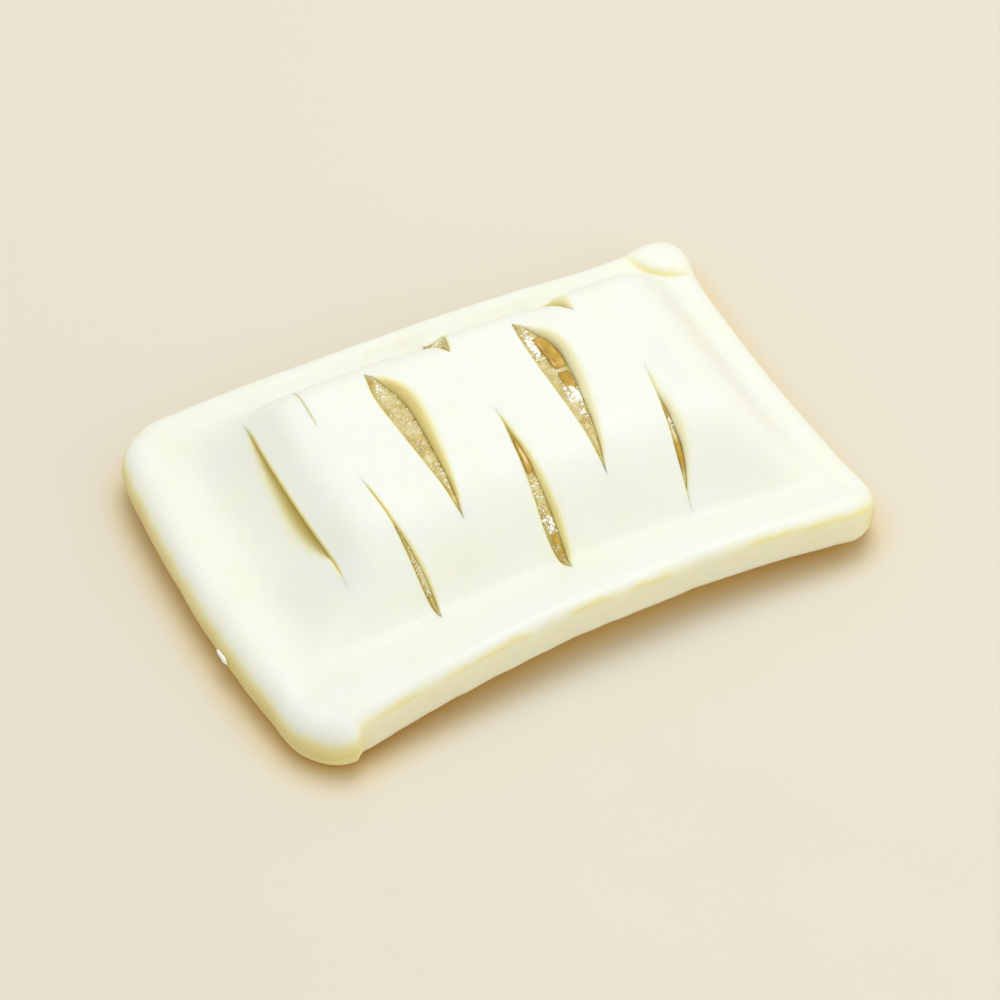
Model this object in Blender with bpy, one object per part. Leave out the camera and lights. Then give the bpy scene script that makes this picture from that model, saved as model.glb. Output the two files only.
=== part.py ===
"""Mini apple pie of raw dough, ready for the oven: a rolled base sheet, a mound of diced apple
filling, and a lid sheet with nine staggered cuts, pressed down round the mound.

Units are metres and +Z is up. The long sides run along X, and the near long side faces -Y.
The origin is under the middle of the pie, on the surface that it rests on.
"""

import math
from collections import namedtuple

import bmesh
import bpy
from mathutils import Vector, noise
from mathutils.bvhtree import BVHTree

# Driving dimensions of the two dough sheets
LENGTH = 0.0860
WIDTH = 0.0617
SHEET = 0.0031
SEAM = 0.0003
CORNER_RADIUS = 0.0065
EDGE_WIDE = 0.0032
LID_EDGE_DROP = 0.0023
BASE_EDGE_RISE = 0.0016
HALF_LENGTH = LENGTH / 2
HALF_WIDTH = WIDTH / 2

# The outline isn't a true rectangle: each side bows, and two corners stand out of square
BOW_LEFT = 0.0023
BOW_RIGHT = -0.0015
BOW_NEAR = -0.0025
BOW_FAR = -0.0002
FAR_LEFT_OUT = 0.0021
FAR_RIGHT_OUT = 0.0008
FAR_RIGHT_IN = 0.0012
NEAR_RIGHT_IN = 0.0006
PLAN_CENTRE = Vector((-0.00164, -0.00018))

# The frozen pie lies on its belly and its rim curls up, least at the near left and far right
ARCH_NEAR = 0.0034
ARCH_FAR = 0.0025
LIFT_NEAR_RIGHT = 0.0016
LIFT_FAR_LEFT = 0.0018
BELLY_FLAT = 0.45
BELLY_END = 1.05
BELLY_POWER = 6

# The lid's pressed groove runs this far in from each side, and the mound climbs from it
MOUND_HEIGHT = 0.0082
MOUND_ROUNDNESS = 2.2
MOUND_FOOT = 0.26
GROOVE_DEPTH = 0.0007
GROOVE_WIDTH = 0.0036
Side = namedtuple("Side", "groove climb")
LEFT = Side(groove=0.0060, climb=0.0170)
RIGHT = Side(groove=0.0048, climb=0.0120)
NEAR = Side(groove=0.0083, climb=0.0165)
FAR = Side(groove=0.0052, climb=0.0090)
NEAR_GROOVE_BOW = 0.0043
NEAR_GROOVE_MIDDLE = -0.0120
NEAR_GROOVE_HALF = 0.0450

# Each cut lies on a column of the mesh, from its near end to its far end. shift and lean set it
# askew, left and right are how far its lips part, widest is where along it, and sink and rise
# are how far its left lip goes down and its right lip up
PITCH = 0.0205
Cut = namedtuple("Cut", "column near far shift lean left right widest sink rise")
CUTS = (
    Cut(-1.5, -0.0112, 0.0204, 0.0026, -0.0003, 0.0009, -0.0003, 0.45, -0.0018, 0.0003),
    Cut(-0.5, -0.0098, 0.0183, -0.0013, -0.0011, 0.0004, 0.0036, 0.72, -0.0005, 0.0006),
    Cut(0.5, -0.0112, 0.0175, -0.0005, 0.0006, -0.0001, 0.0041, 0.72, -0.0005, 0.0006),
    Cut(-1.0, -0.0190, 0.0016, 0.0008, -0.0018, 0.0005, 0.0002, 0.45, -0.0004, 0.0003),
    Cut(0.0, -0.0196, 0.0048, 0.0004, 0.0008, 0.0013, 0.0007, 0.40, -0.0005, 0.0004),
    Cut(1.0, -0.0188, 0.0020, 0.0000, 0.0025, 0.0004, 0.0008, 0.42, -0.0004, 0.0004),
    Cut(-1.0, 0.0116, 0.0226, -0.0008, 0.0, 0.0002, 0.0003, 0.50, -0.0002, 0.0002),
    Cut(0.0, 0.0165, 0.0262, 0.0002, 0.0, 0.0004, 0.0026, 0.50, -0.0010, 0.0007),
    Cut(1.0, 0.0160, 0.0260, 0.0006, 0.0, 0.0003, 0.0010, 0.50, -0.0010, 0.0005),
)
CUT_REACH = 0.0055
FADE_SHARE = 0.25
LEAN_LIMIT = 0.7
LENS_POWER = 0.7
LIP_ROUND = 0.0009
LIP_DROP = 0.0006

# Two corners were tucked in by hand: a lobe at the near left, and a folded tip at the far right
LOBE_LENGTH = 0.0072
LOBE_CREASE = 0.0012
LOBE_DEEP = 0.0045
LOBE_OUT = 0.0009
FOLD_RADIUS = 0.0087
FOLD_RISE = 0.0006
FOLD_SLOPE = 0.0020
FOLD_CLEFT = 0.0008
CLEFT_WIDTH = 0.0009

# The rolled sheets are a little uneven
UNEVEN = 0.00022
UNEVEN_SIZE = 0.016

# Filling
DICE_SIZE = 0.0070
DICE_RELIEF = 0.0011
DICE_SHAPE = 2.5
DICE_HOLLOW = 0.05
DICE_TOP = 0.40
FILLING_LEFT = -0.0282
FILLING_RIGHT = 0.0350
FILLING_NEAR = -0.0148
FILLING_FAR = 0.0212
FILLING_CORNER = 0.0085
FILLING_CLEAR = 0.0004
FILLING_LEAST = 0.0006

# Mesh fineness
SAME_PLACE = 0.00001
LID_STEP = 0.0024
BASE_STEP = 0.0040
FILLING_STEP = 0.0023
SLOPE_STEP = 0.0005
SEARCH_RINGS = (0.5 * FILLING_STEP, FILLING_STEP, 1.5 * FILLING_STEP)
SEARCH_TURNS = 8
EDGE_LINES = 3

DOUGH_COLOUR = (0.86, 0.85, 0.71, 1.0)
FILLING_COLOUR = (0.56, 0.40, 0.12, 1.0)


def clear_scene():
    for obj in list(bpy.data.objects):
        bpy.data.objects.remove(obj, do_unlink=True)


def smooth(start, end, value):
    """0 before start, 1 after end, with a smooth climb between."""
    t = min(1.0, max(0.0, (value - start) / (end - start)))
    return t * t * (3.0 - 2.0 * t)


def bump(value, width):
    """A bell that is 1 at 0 and has almost gone at twice its width."""
    return math.exp(-((value / width) ** 2))


def rounded_corner(x, y, half_x, half_y, radius):
    """Takes the square corners of a rectangle about the origin to quarter circles."""
    along = (abs(x) - (half_x - radius)) / radius
    across = (abs(y) - (half_y - radius)) / radius
    if along <= 0.0 or across <= 0.0:
        return x, y
    out_x = half_x - radius + along * math.sqrt(1.0 - across * across / 2.0) * radius
    out_y = half_y - radius + across * math.sqrt(1.0 - along * along / 2.0) * radius
    return math.copysign(out_x, x), math.copysign(out_y, y)


def plan_point(x, y):
    """Where a point of the nominal rectangle lies on the real, bowed outline."""
    x, y = rounded_corner(x, y, HALF_LENGTH, HALF_WIDTH, CORNER_RADIUS)
    u = x / HALF_LENGTH
    v = y / HALF_WIDTH
    far = (1.0 + v) / 2.0
    right = (1.0 + u) / 2.0
    left_out = FAR_LEFT_OUT * far + BOW_LEFT * (1.0 - v * v)
    right_out = FAR_RIGHT_OUT * far + BOW_RIGHT * (1.0 - v * v)
    near_out = BOW_NEAR * (1.0 - u * u) - NEAR_RIGHT_IN * right
    far_out = BOW_FAR * (1.0 - u * u) - FAR_RIGHT_IN * right
    in_lobe = 1.0 - smooth(LOBE_LENGTH - LOBE_CREASE, LOBE_LENGTH, x + HALF_LENGTH)
    near_out += LOBE_OUT * in_lobe * smooth(HALF_WIDTH - LOBE_DEEP, HALF_WIDTH, -y)
    moved_x = x + (right_out if u > 0 else -left_out) * abs(u) ** 3
    moved_y = y + (far_out if v > 0 else -near_out) * abs(v) ** 3
    return moved_x - PLAN_CENTRE.x, moved_y - PLAN_CENTRE.y


def edge_distance(x, y):
    """How far a nominal point is from the nearest side of the nominal rectangle."""
    return min(HALF_LENGTH - abs(x), HALF_WIDTH - abs(y))


def edge_rounding(x, y):
    """How far down the rounding of a sheet's edge has gone: 1 at the edge, and 0 inside it."""
    out = 1.0 - min(1.0, max(0.0, edge_distance(x, y) / EDGE_WIDE))
    return 1.0 - math.sqrt(1.0 - out * out)


def underside(x, y):
    """The base's lower face: flat under the belly, and curling up towards the rim."""
    u = x / HALF_LENGTH
    v = y / HALF_WIDTH
    near = (1.0 - v) / 2.0
    far = (1.0 + v) / 2.0
    arch = (ARCH_NEAR * near + ARCH_FAR * far) * (1.0 - u * u)
    lift = LIFT_NEAR_RIGHT * near * (1.0 + u) / 2.0 + LIFT_FAR_LEFT * far * (1.0 - u) / 2.0
    out = (abs(u) ** BELLY_POWER + abs(v) ** BELLY_POWER) ** (1.0 / BELLY_POWER)
    return (arch + lift) * smooth(BELLY_FLAT, BELLY_END, out)


def base_top(x, y):
    return underside(x, y) + SHEET


def from_near_groove(x, y):
    """How far a place is behind the near groove, which bows in towards the mound."""
    along = (x - NEAR_GROOVE_MIDDLE) / NEAR_GROOVE_HALF
    return HALF_WIDTH + y - NEAR.groove - NEAR_GROOVE_BOW * (1.0 - along * along)


def climb(distance, length):
    """The mound's flank: 0 in the groove, steep above a soft foot, and rounding off to 1."""
    t = min(1.0, max(0.0, distance / length))
    t = t * t / (t + MOUND_FOOT) * (1.0 + MOUND_FOOT)
    return 1.0 - (1.0 - t) ** MOUND_ROUNDNESS


def mound_share(x, y):
    """0 in the pressed groove and 1 on top of the mound."""
    left = climb(HALF_LENGTH + x - LEFT.groove, LEFT.climb)
    right = climb(HALF_LENGTH - x - RIGHT.groove, RIGHT.climb)
    near = climb(from_near_groove(x, y), NEAR.climb)
    far = climb(HALF_WIDTH - y - FAR.groove, FAR.climb)
    return left * right * near * far


def groove(x, y):
    """The shallow trough that was pressed in to seal the two sheets."""
    inside = min(
        HALF_LENGTH + x - LEFT.groove,
        HALF_LENGTH - x - RIGHT.groove,
        from_near_groove(x, y),
        HALF_WIDTH - y - FAR.groove,
    )
    return GROOVE_DEPTH * bump(inside, GROOVE_WIDTH)


def folded_tip(x, y):
    """The far right corner was folded up, with a cleft along the fold."""
    beyond = FOLD_RADIUS - math.hypot(HALF_LENGTH - x, HALF_WIDTH - y)
    return FOLD_RISE * smooth(0.0, FOLD_SLOPE, beyond) - FOLD_CLEFT * bump(beyond, CLEFT_WIDTH)


def lid_top(x, y):
    """The lid's upper face before it is cut."""
    wave = UNEVEN * noise.noise(Vector((x, y, 0.0)) / UNEVEN_SIZE)
    flat = base_top(x, y) + SEAM + SHEET
    return flat + MOUND_HEIGHT * mound_share(x, y) - groove(x, y) + folded_tip(x, y) + wave


def lid_thickness(x, y):
    """The sheet's height where it slopes, and in the groove what the pressing has left of it."""
    slope_x = (lid_top(x + SLOPE_STEP, y) - lid_top(x - SLOPE_STEP, y)) / (2.0 * SLOPE_STEP)
    slope_y = (lid_top(x, y + SLOPE_STEP) - lid_top(x, y - SLOPE_STEP)) / (2.0 * SLOPE_STEP)
    sloped = SHEET * math.sqrt(1.0 + min(1.0, slope_x**2 + slope_y**2))
    return min(sloped, lid_top(x, y) - base_top(x, y) - SEAM)


def between(start, end, step):
    """Places from start up to but without end, evenly spaced and no further apart than step."""
    count = max(1, math.ceil((end - start) / step - 0.01))
    return [start + (end - start) * i / count for i in range(count)]


def rounded_run(half, anchors, step):
    """Mesh lines from -half to half: close together on the rounded edges, and one on each anchor."""
    turns = [math.pi / 2.0 * i / EDGE_LINES for i in range(EDGE_LINES + 1)]
    edge = [EDGE_WIDE * (1.0 - math.cos(turn)) for turn in turns]
    stops = [-half + edge[-1], *anchors, half - edge[-1]]
    lines = [-half + e for e in edge[:-1]]
    for start, end in zip(stops, stops[1:]):
        lines += between(start, end, step)
    return lines + [half - e for e in reversed(edge)]


def lid_columns():
    """Columns of the lid's mesh: each line of cuts gets one, with one more on either lip."""
    anchors = []
    for half_pitches in range(-3, 3):
        middle = half_pitches * PITCH / 2.0
        anchors += [middle - LIP_ROUND, middle, middle + LIP_ROUND]
    return rounded_run(HALF_LENGTH, anchors, LID_STEP)


def lid_rows():
    return rounded_run(HALF_WIDTH, [], LID_STEP)


def nearest(lines, value):
    return min(lines, key=lambda line: abs(line - value))


def snapped_cuts(rows):
    """The cuts, with their ends on rows of the mesh."""
    return [c._replace(near=nearest(rows, c.near), far=nearest(rows, c.far)) for c in CUTS]


def cut_shift(cuts, x, y, side):
    """How far the open cuts push a point of the lid sideways and up. side is -1 or 1 on a lip."""
    push = 0.0
    lift = 0.0
    for cut in cuts:
        away = x - cut.column * PITCH
        hand = side if abs(away) < SAME_PLACE else math.copysign(1.0, away)
        reach = bump(away, CUT_REACH)
        share = (y - cut.near) / (cut.far - cut.near)
        open_share = lens(share, cut.widest)
        fade = bump(max(0.0, -share, share - 1.0), FADE_SHARE)
        centred = min(LEAN_LIMIT, max(-LEAN_LIMIT, share - 0.5))
        parting = -cut.left if hand < 0 else cut.right
        push += reach * (open_share * parting + fade * (cut.shift + cut.lean * centred))
        lift += reach * open_share * (cut.sink if hand < 0 else cut.rise)
    return push, lift


def lens(share, widest):
    """The opening along a cut: 0 at both ends and 1 where it is widest."""
    if not 0.0 < share < 1.0:
        return 0.0
    bent = share ** (math.log(0.5) / math.log(widest))
    return math.sin(math.pi * bent) ** LENS_POWER


def grid_mesh(columns, rows):
    """A flat mesh of quads whose lines are at the given places, in nominal coordinates."""
    bm = bmesh.new()
    bmesh.ops.create_grid(bm, x_segments=len(columns) - 1, y_segments=len(rows) - 1, size=1.0)
    for vert in bm.verts:
        column = round((vert.co.x + 1.0) / 2.0 * (len(columns) - 1))
        row = round((vert.co.y + 1.0) / 2.0 * (len(rows) - 1))
        vert.co = Vector((columns[column], rows[row], 0.0))
    return bm


def open_cuts(bm, cuts):
    """Splits the mesh along each cut, so that its two lips can part."""
    edges = []
    for edge in bm.edges:
        ends = [v.co for v in edge.verts]
        middle = (ends[0] + ends[1]) / 2.0
        upright = abs(ends[0].x - ends[1].x) < SAME_PLACE
        for cut in cuts:
            on_line = abs(middle.x - cut.column * PITCH) < SAME_PLACE
            if upright and on_line and cut.near < middle.y < cut.far:
                edges.append(edge)
    bmesh.ops.split_edges(bm, edges=edges)


def lip_side(vert):
    """-1 on a cut's left lip, 1 on its right lip and 0 elsewhere, from where the faces lie."""
    if not vert.is_boundary or edge_distance(vert.co.x, vert.co.y) < SAME_PLACE:
        return 0
    middle = sum(f.calc_center_median().x for f in vert.link_faces) / len(vert.link_faces)
    offset = middle - vert.co.x
    return 0 if abs(offset) < SAME_PLACE else math.copysign(1, offset)


def close_below(bm, place, lower):
    """Gives the sheet its thickness: a copy of its faces, lowered, and walls round every edge."""
    made = bmesh.ops.extrude_face_region(bm, geom=list(bm.faces), use_keep_orig=True)
    for vert in made["geom"]:
        if isinstance(vert, bmesh.types.BMVert):
            vert.co.z = lower(*vert[place])
    bmesh.ops.recalc_face_normals(bm, faces=list(bm.faces))


def sheet_solid(columns, rows, cuts, upper, lower):
    """A closed sheet over the nominal rectangle, from the functions of its two faces."""
    bm = grid_mesh(columns, rows)
    open_cuts(bm, cuts)
    place = bm.verts.layers.float_vector.new("place")
    for vert in bm.verts:
        vert[place] = Vector((vert.co.x, vert.co.y, lip_side(vert)))
    for vert in bm.verts:
        vert.co = upper(*vert[place])
    close_below(bm, place, lower)
    return bm


def lid_point(cuts):
    """The function that places a point of the lid's upper face."""

    def place(x, y, side):
        push, lift = cut_shift(cuts, x, y, side)
        plan_x, plan_y = plan_point(x + push, y)
        rounding = LIP_DROP if side else LID_EDGE_DROP * edge_rounding(x, y)
        return Vector((plan_x, plan_y, lid_top(x, y) + lift - rounding))

    return place


def lid_underside(cuts):
    """The function that gives the height of a point of the lid's lower face."""

    def height(x, y, side):
        _, lift = cut_shift(cuts, x, y, side)
        return max(lid_top(x, y) + lift - lid_thickness(x, y), base_top(x, y) + SEAM)

    return height


def base_point(x, y, _):
    return Vector((*plan_point(x, y), base_top(x, y)))


def base_underside(x, y, _):
    return underside(x, y) + BASE_EDGE_RISE * edge_rounding(x, y)


def dice_relief(x, y):
    """0 on top of a piece of diced apple, and up to 1 in the hollows between pieces."""
    distances, _ = noise.voronoi(Vector((x, y, 0.0)) / DICE_SIZE, exponent=DICE_SHAPE)
    return 1.0 - smooth(DICE_HOLLOW, DICE_TOP, distances[1] - distances[0])


def lid_height_near(lid_tree, x, y):
    """The lowest height of the lid's lower face close to a place, or at the lips beside an opening."""
    for radius in SEARCH_RINGS:
        heights = []
        for turn in range(SEARCH_TURNS):
            angle = math.tau * turn / SEARCH_TURNS
            start = Vector((x + radius * math.cos(angle), y + radius * math.sin(angle), -SHEET))
            hit, *_ = lid_tree.ray_cast(start, Vector((0.0, 0.0, 1.0)))
            if hit:
                heights.append(hit.z)
        if heights:
            return min(heights)
    return None


def material(name, colour, roughness):
    made = bpy.data.materials.new(name)
    made.use_nodes = True
    shader = made.node_tree.nodes["Principled BSDF"]
    shader.inputs["Base Color"].default_value = colour
    shader.inputs["Roughness"].default_value = roughness
    shader.inputs["Metallic"].default_value = 0.0
    return made


def add_object(name, bm, finish):
    mesh = bpy.data.meshes.new(name)
    bm.to_mesh(mesh)
    bm.free()
    mesh.shade_smooth()
    mesh.set_sharp_from_angle(angle=math.radians(50.0))
    mesh.materials.append(finish)
    obj = bpy.data.objects.new(name, mesh)
    bpy.context.scene.collection.objects.link(obj)
    return obj


def make_base(dough):
    columns = rounded_run(HALF_LENGTH, [], BASE_STEP)
    rows = rounded_run(HALF_WIDTH, [], BASE_STEP)
    return add_object("dough_base", sheet_solid(columns, rows, [], base_point, base_underside), dough)


def make_lid(dough):
    columns = lid_columns()
    rows = lid_rows()
    cuts = snapped_cuts(rows)
    bm = sheet_solid(columns, rows, cuts, lid_point(cuts), lid_underside(cuts))
    return add_object("dough_lid", bm, dough)


def make_filling(lid, apple):
    lid_tree = BVHTree.FromObject(lid, bpy.context.evaluated_depsgraph_get())
    reach_x = (FILLING_RIGHT - FILLING_LEFT) / 2.0
    reach_y = (FILLING_FAR - FILLING_NEAR) / 2.0
    columns = [*between(-reach_x, reach_x, FILLING_STEP), reach_x]
    rows = [*between(-reach_y, reach_y, FILLING_STEP), reach_y]

    def spot(x, y):
        x, y = rounded_corner(x, y, reach_x, reach_y, FILLING_CORNER)
        return x + FILLING_LEFT + reach_x, y + FILLING_NEAR + reach_y

    def lower(x, y, _):
        return base_top(*spot(x, y)) + SEAM

    def upper(x, y, _):
        plan_x, plan_y = plan_point(*spot(x, y))
        roof = lid_height_near(lid_tree, plan_x, plan_y) - FILLING_CLEAR
        top = roof - DICE_RELIEF * dice_relief(plan_x, plan_y)
        return Vector((plan_x, plan_y, max(top, lower(x, y, 0) + FILLING_LEAST)))

    return add_object("apple_filling", sheet_solid(columns, rows, [], upper, lower), apple)


def main():
    clear_scene()
    dough = material("raw_dough", DOUGH_COLOUR, 0.55)
    apple = material("apple_filling", FILLING_COLOUR, 0.30)
    make_base(dough)
    lid = make_lid(dough)
    make_filling(lid, apple)


main()
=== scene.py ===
# %% [markdown]
# # A mini apple pie, ready for the oven
# The pie is raw: two small sheets of rolled dough with a mound of diced apple in gel between
# them. The rims were pressed together, the lid was slit nine times, and the whole was frozen.
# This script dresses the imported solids: it loads them as a fixed frame and builds the skin,
# the filling and the frost in the same place, with their real finish.

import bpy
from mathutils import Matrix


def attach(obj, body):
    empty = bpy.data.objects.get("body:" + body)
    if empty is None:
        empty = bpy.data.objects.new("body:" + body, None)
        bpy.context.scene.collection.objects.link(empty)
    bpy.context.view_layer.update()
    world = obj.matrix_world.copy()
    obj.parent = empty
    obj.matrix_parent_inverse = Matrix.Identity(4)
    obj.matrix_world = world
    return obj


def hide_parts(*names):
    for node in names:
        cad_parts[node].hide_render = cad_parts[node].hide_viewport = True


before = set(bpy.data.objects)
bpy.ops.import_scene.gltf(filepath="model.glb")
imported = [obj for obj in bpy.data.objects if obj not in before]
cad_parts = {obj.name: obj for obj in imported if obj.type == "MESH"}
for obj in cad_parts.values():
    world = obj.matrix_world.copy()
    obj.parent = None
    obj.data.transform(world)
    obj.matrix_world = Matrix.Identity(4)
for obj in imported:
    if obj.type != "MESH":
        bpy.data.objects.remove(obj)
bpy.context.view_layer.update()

# %% [markdown]
# The pie's forms are soft: climbs, bells and waves. Four small functions say them all, and every
# later step is built from them. They could be curves drawn by hand, but functions keep the
# lid, the base and the filling in step with each other, because all three ask the same ones.
# The noise gets a fixed seed, or its vectors would come out differently in every run.

# %% Soft steps, bells and waves
import math
from collections import namedtuple

import bmesh
import bpy
from mathutils import Matrix, Vector, noise
from mathutils.bvhtree import BVHTree

NOISE_SEED = 4
noise.seed_set(NOISE_SEED)


def smooth(start, end, value):
    """0 before start, 1 after end, with a smooth climb between."""
    t = min(1.0, max(0.0, (value - start) / (end - start)))
    return t * t * (3.0 - 2.0 * t)


def bump(value, width):
    """A bell that is 1 at 0 and has almost gone at twice its width."""
    return math.exp(-((value / width) ** 2))


def wave(x, y, size, seed=0.0):
    """Soft unevenness between about -1 and 1, with swells of the given size."""
    return noise.noise(Vector((x / size, y / size, seed)))


def rounding(inset, width, power):
    """How far down a rounded edge has gone: 1 at the edge itself, and 0 from width inwards."""
    out = 1.0 - min(1.0, max(0.0, inset / width))
    return 1.0 - (1.0 - out**power) ** (1.0 / power)


print("a round edge half way in:", round(rounding(0.5, 1.0, 2.0), 3))

# %% [markdown]
# ## The outline
# Seen from above, the pie was cut as a rectangle of 86 by 62 mm with rounded corners, and then
# handling bowed each side a little and drew the far right corner out to a tip. Points are worked
# out on the true rectangle first, and plan_point carries them to the bowed one, so that a fold
# or a cut can be placed in plain sizes.

# %% The bowed rectangle
HALF_LENGTH = 0.0430
HALF_WIDTH = 0.03085
CORNER_RADIUS = 0.0065
BOW_LEFT = 0.0023
BOW_RIGHT = -0.0015
BOW_NEAR = -0.0025
BOW_FAR = -0.0002
FAR_LEFT_OUT = 0.0021
FAR_RIGHT_OUT = 0.0008
FAR_RIGHT_IN = 0.0012
NEAR_RIGHT_IN = 0.0006
PLAN_CENTRE = Vector((-0.00164, -0.00018))
TIP_REACH = 0.0090
TIP_OUT = 0.0012
LOBE_LENGTH = 0.0068
LOBE_CREASE = 0.0009
LOBE_OUT = 0.0010
LOBE_DEEP = 0.0040
WOBBLE = ((0.00022, 0.0090), (0.00009, 0.0032))


def rounded_corner(x, y, half_x, half_y, radius):
    """Takes the square corners of a rectangle about the origin to quarter circles."""
    along = (abs(x) - (half_x - radius)) / radius
    across = (abs(y) - (half_y - radius)) / radius
    if along <= 0.0 or across <= 0.0:
        return x, y
    out_x = half_x - radius + along * math.sqrt(1.0 - across * across / 2.0) * radius
    out_y = half_y - radius + across * math.sqrt(1.0 - along * along / 2.0) * radius
    return math.copysign(out_x, x), math.copysign(out_y, y)


def plan_point(x, y):
    """Where a point of the true rectangle lies on the real, bowed outline."""
    tip = TIP_OUT * smooth(0.0, TIP_REACH, TIP_REACH - math.hypot(HALF_LENGTH - x, HALF_WIDTH - y))
    x, y = rounded_corner(x, y, HALF_LENGTH, HALF_WIDTH, CORNER_RADIUS)
    u = x / HALF_LENGTH
    v = y / HALF_WIDTH
    far = (1.0 + v) / 2.0
    right = (1.0 + u) / 2.0
    left_out = FAR_LEFT_OUT * far + BOW_LEFT * (1.0 - v * v)
    right_out = FAR_RIGHT_OUT * far + BOW_RIGHT * (1.0 - v * v)
    near_out = BOW_NEAR * (1.0 - u * u) - NEAR_RIGHT_IN * right
    far_out = BOW_FAR * (1.0 - u * u) - FAR_RIGHT_IN * right
    in_lobe = 1.0 - smooth(LOBE_LENGTH - LOBE_CREASE, LOBE_LENGTH, x + HALF_LENGTH)
    near_out += LOBE_OUT * in_lobe * smooth(HALF_WIDTH - LOBE_DEEP, HALF_WIDTH, -y)
    moved_x = x + (right_out if u > 0 else -left_out) * abs(u) ** 3
    moved_y = y + (far_out if v > 0 else -near_out) * abs(v) ** 3
    wobble = sum(depth * wave(x, y, size, seed=12.0) for depth, size in WOBBLE)
    moved_x += wobble * u * abs(u) ** 5
    moved_y += wobble * v * abs(v) ** 5
    return moved_x + tip - PLAN_CENTRE.x, moved_y + tip - PLAN_CENTRE.y


def edge_inset(x, y):
    """How far a point is inside the rounded rectangle's outline."""
    x, y = rounded_corner(x, y, HALF_LENGTH, HALF_WIDTH, CORNER_RADIUS)
    along = abs(x) - (HALF_LENGTH - CORNER_RADIUS)
    across = abs(y) - (HALF_WIDTH - CORNER_RADIUS)
    if along > 0.0 and across > 0.0:
        return CORNER_RADIUS - math.hypot(along, across)
    return CORNER_RADIUS - max(along, across)


print("near left corner in mm:", [round(1000 * c, 2) for c in plan_point(-HALF_LENGTH, -HALF_WIDTH)])

# %% [markdown]
# ## The base sheet
# The frozen pie lies on its belly, and its rim curls up off the table, most in the middle of the
# long sides. The base's lower face is one function of the place, flat under the belly and
# climbing towards the rim, and its upper face is the same function one sheet higher. The far
# right corner is bent up a little more, where it was folded.

# %% The belly and the curled rim
SHEET = 0.0031
SEAM = 0.0003
ARCH_NEAR = 0.0034
ARCH_FAR = 0.0025
LIFT_NEAR_RIGHT = 0.0016
LIFT_FAR_LEFT = 0.0018
CORNER_LIFT = 0.0011
CORNER_LIFT_REACH = 0.0170
BELLY_FLAT = 0.45
BELLY_END = 1.05
BELLY_POWER = 6


def underside(x, y):
    u = x / HALF_LENGTH
    v = y / HALF_WIDTH
    near = (1.0 - v) / 2.0
    far = (1.0 + v) / 2.0
    arch = (ARCH_NEAR * near + ARCH_FAR * far) * (1.0 - u * u)
    lift = LIFT_NEAR_RIGHT * near * (1.0 + u) / 2.0 + LIFT_FAR_LEFT * far * (1.0 - u) / 2.0
    out = (abs(u) ** BELLY_POWER + abs(v) ** BELLY_POWER) ** (1.0 / BELLY_POWER)
    to_corner = math.hypot(HALF_LENGTH - x, HALF_WIDTH - y)
    bent_up = CORNER_LIFT * smooth(CORNER_LIFT_REACH, 0.0, to_corner)
    return (arch + lift) * smooth(BELLY_FLAT, BELLY_END, out) + bent_up


def base_top(x, y):
    return underside(x, y) + SHEET


print("the near rim stands off the table by mm:", round(1000 * underside(0.0, -HALF_WIDTH), 2))

# %% [markdown]
# ## The lid's form
# The lid lies flat on the rim, dips into the groove that was pressed to seal it, and climbs over
# the heap of apple. The climb is steep above a soft foot and then rounds off, and each side has
# its own groove and its own length of climb. Multiplying the four climbs gives a cushion with
# round shoulders. The far right corner was folded up by hand and has a cleft along its fold.

# %% Mound, groove and folded corner
MOUND_HEIGHT = 0.0082
MOUND_ROUNDNESS = 2.2
MOUND_FOOT = 0.26
GROOVE_DEPTH = 0.0007
GROOVE_WIDTH = 0.0036
Side = namedtuple("Side", "groove climb")
LEFT = Side(groove=0.0060, climb=0.0170)
RIGHT = Side(groove=0.0048, climb=0.0120)
NEAR = Side(groove=0.0083, climb=0.0165)
FAR = Side(groove=0.0052, climb=0.0090)
NEAR_GROOVE_BOW = 0.0043
NEAR_GROOVE_MIDDLE = -0.0120
NEAR_GROOVE_HALF = 0.0450
FOLD_RADIUS = 0.0087
FOLD_RISE = 0.0004
FOLD_SLOPE = 0.0022
FOLD_CLEFT = 0.0008
CLEFT_WIDTH = 0.0006
CLEFT_HALF_ANGLE = 40.0
UNEVEN = ((0.00022, 0.016), (0.00007, 0.0055), (0.000025, 0.0021))


def from_near_groove(x, y):
    """How far a place is behind the near groove, which bows in towards the mound."""
    along = (x - NEAR_GROOVE_MIDDLE) / NEAR_GROOVE_HALF
    return HALF_WIDTH + y - NEAR.groove - NEAR_GROOVE_BOW * (1.0 - along * along)


def behind_grooves(x, y):
    """How far a place is inside each of the four grooves: left, right, near and far."""
    return (
        HALF_LENGTH + x - LEFT.groove,
        HALF_LENGTH - x - RIGHT.groove,
        from_near_groove(x, y),
        HALF_WIDTH - y - FAR.groove,
    )


def climb(distance, length):
    """The mound's flank: 0 in the groove, steep above a soft foot, and rounding off to 1."""
    t = min(1.0, max(0.0, distance / length))
    t = t * t / (t + MOUND_FOOT) * (1.0 + MOUND_FOOT)
    return 1.0 - (1.0 - t) ** MOUND_ROUNDNESS


def mound_share(x, y):
    """0 in the pressed groove and 1 on top of the mound."""
    share = 1.0
    for distance, side in zip(behind_grooves(x, y), (LEFT, RIGHT, NEAR, FAR)):
        share *= climb(distance, side.climb)
    return share


def beyond_fold(x, y):
    """How far a place is out past the fold of the far right corner."""
    return FOLD_RADIUS - math.hypot(HALF_LENGTH - x, HALF_WIDTH - y)


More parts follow.
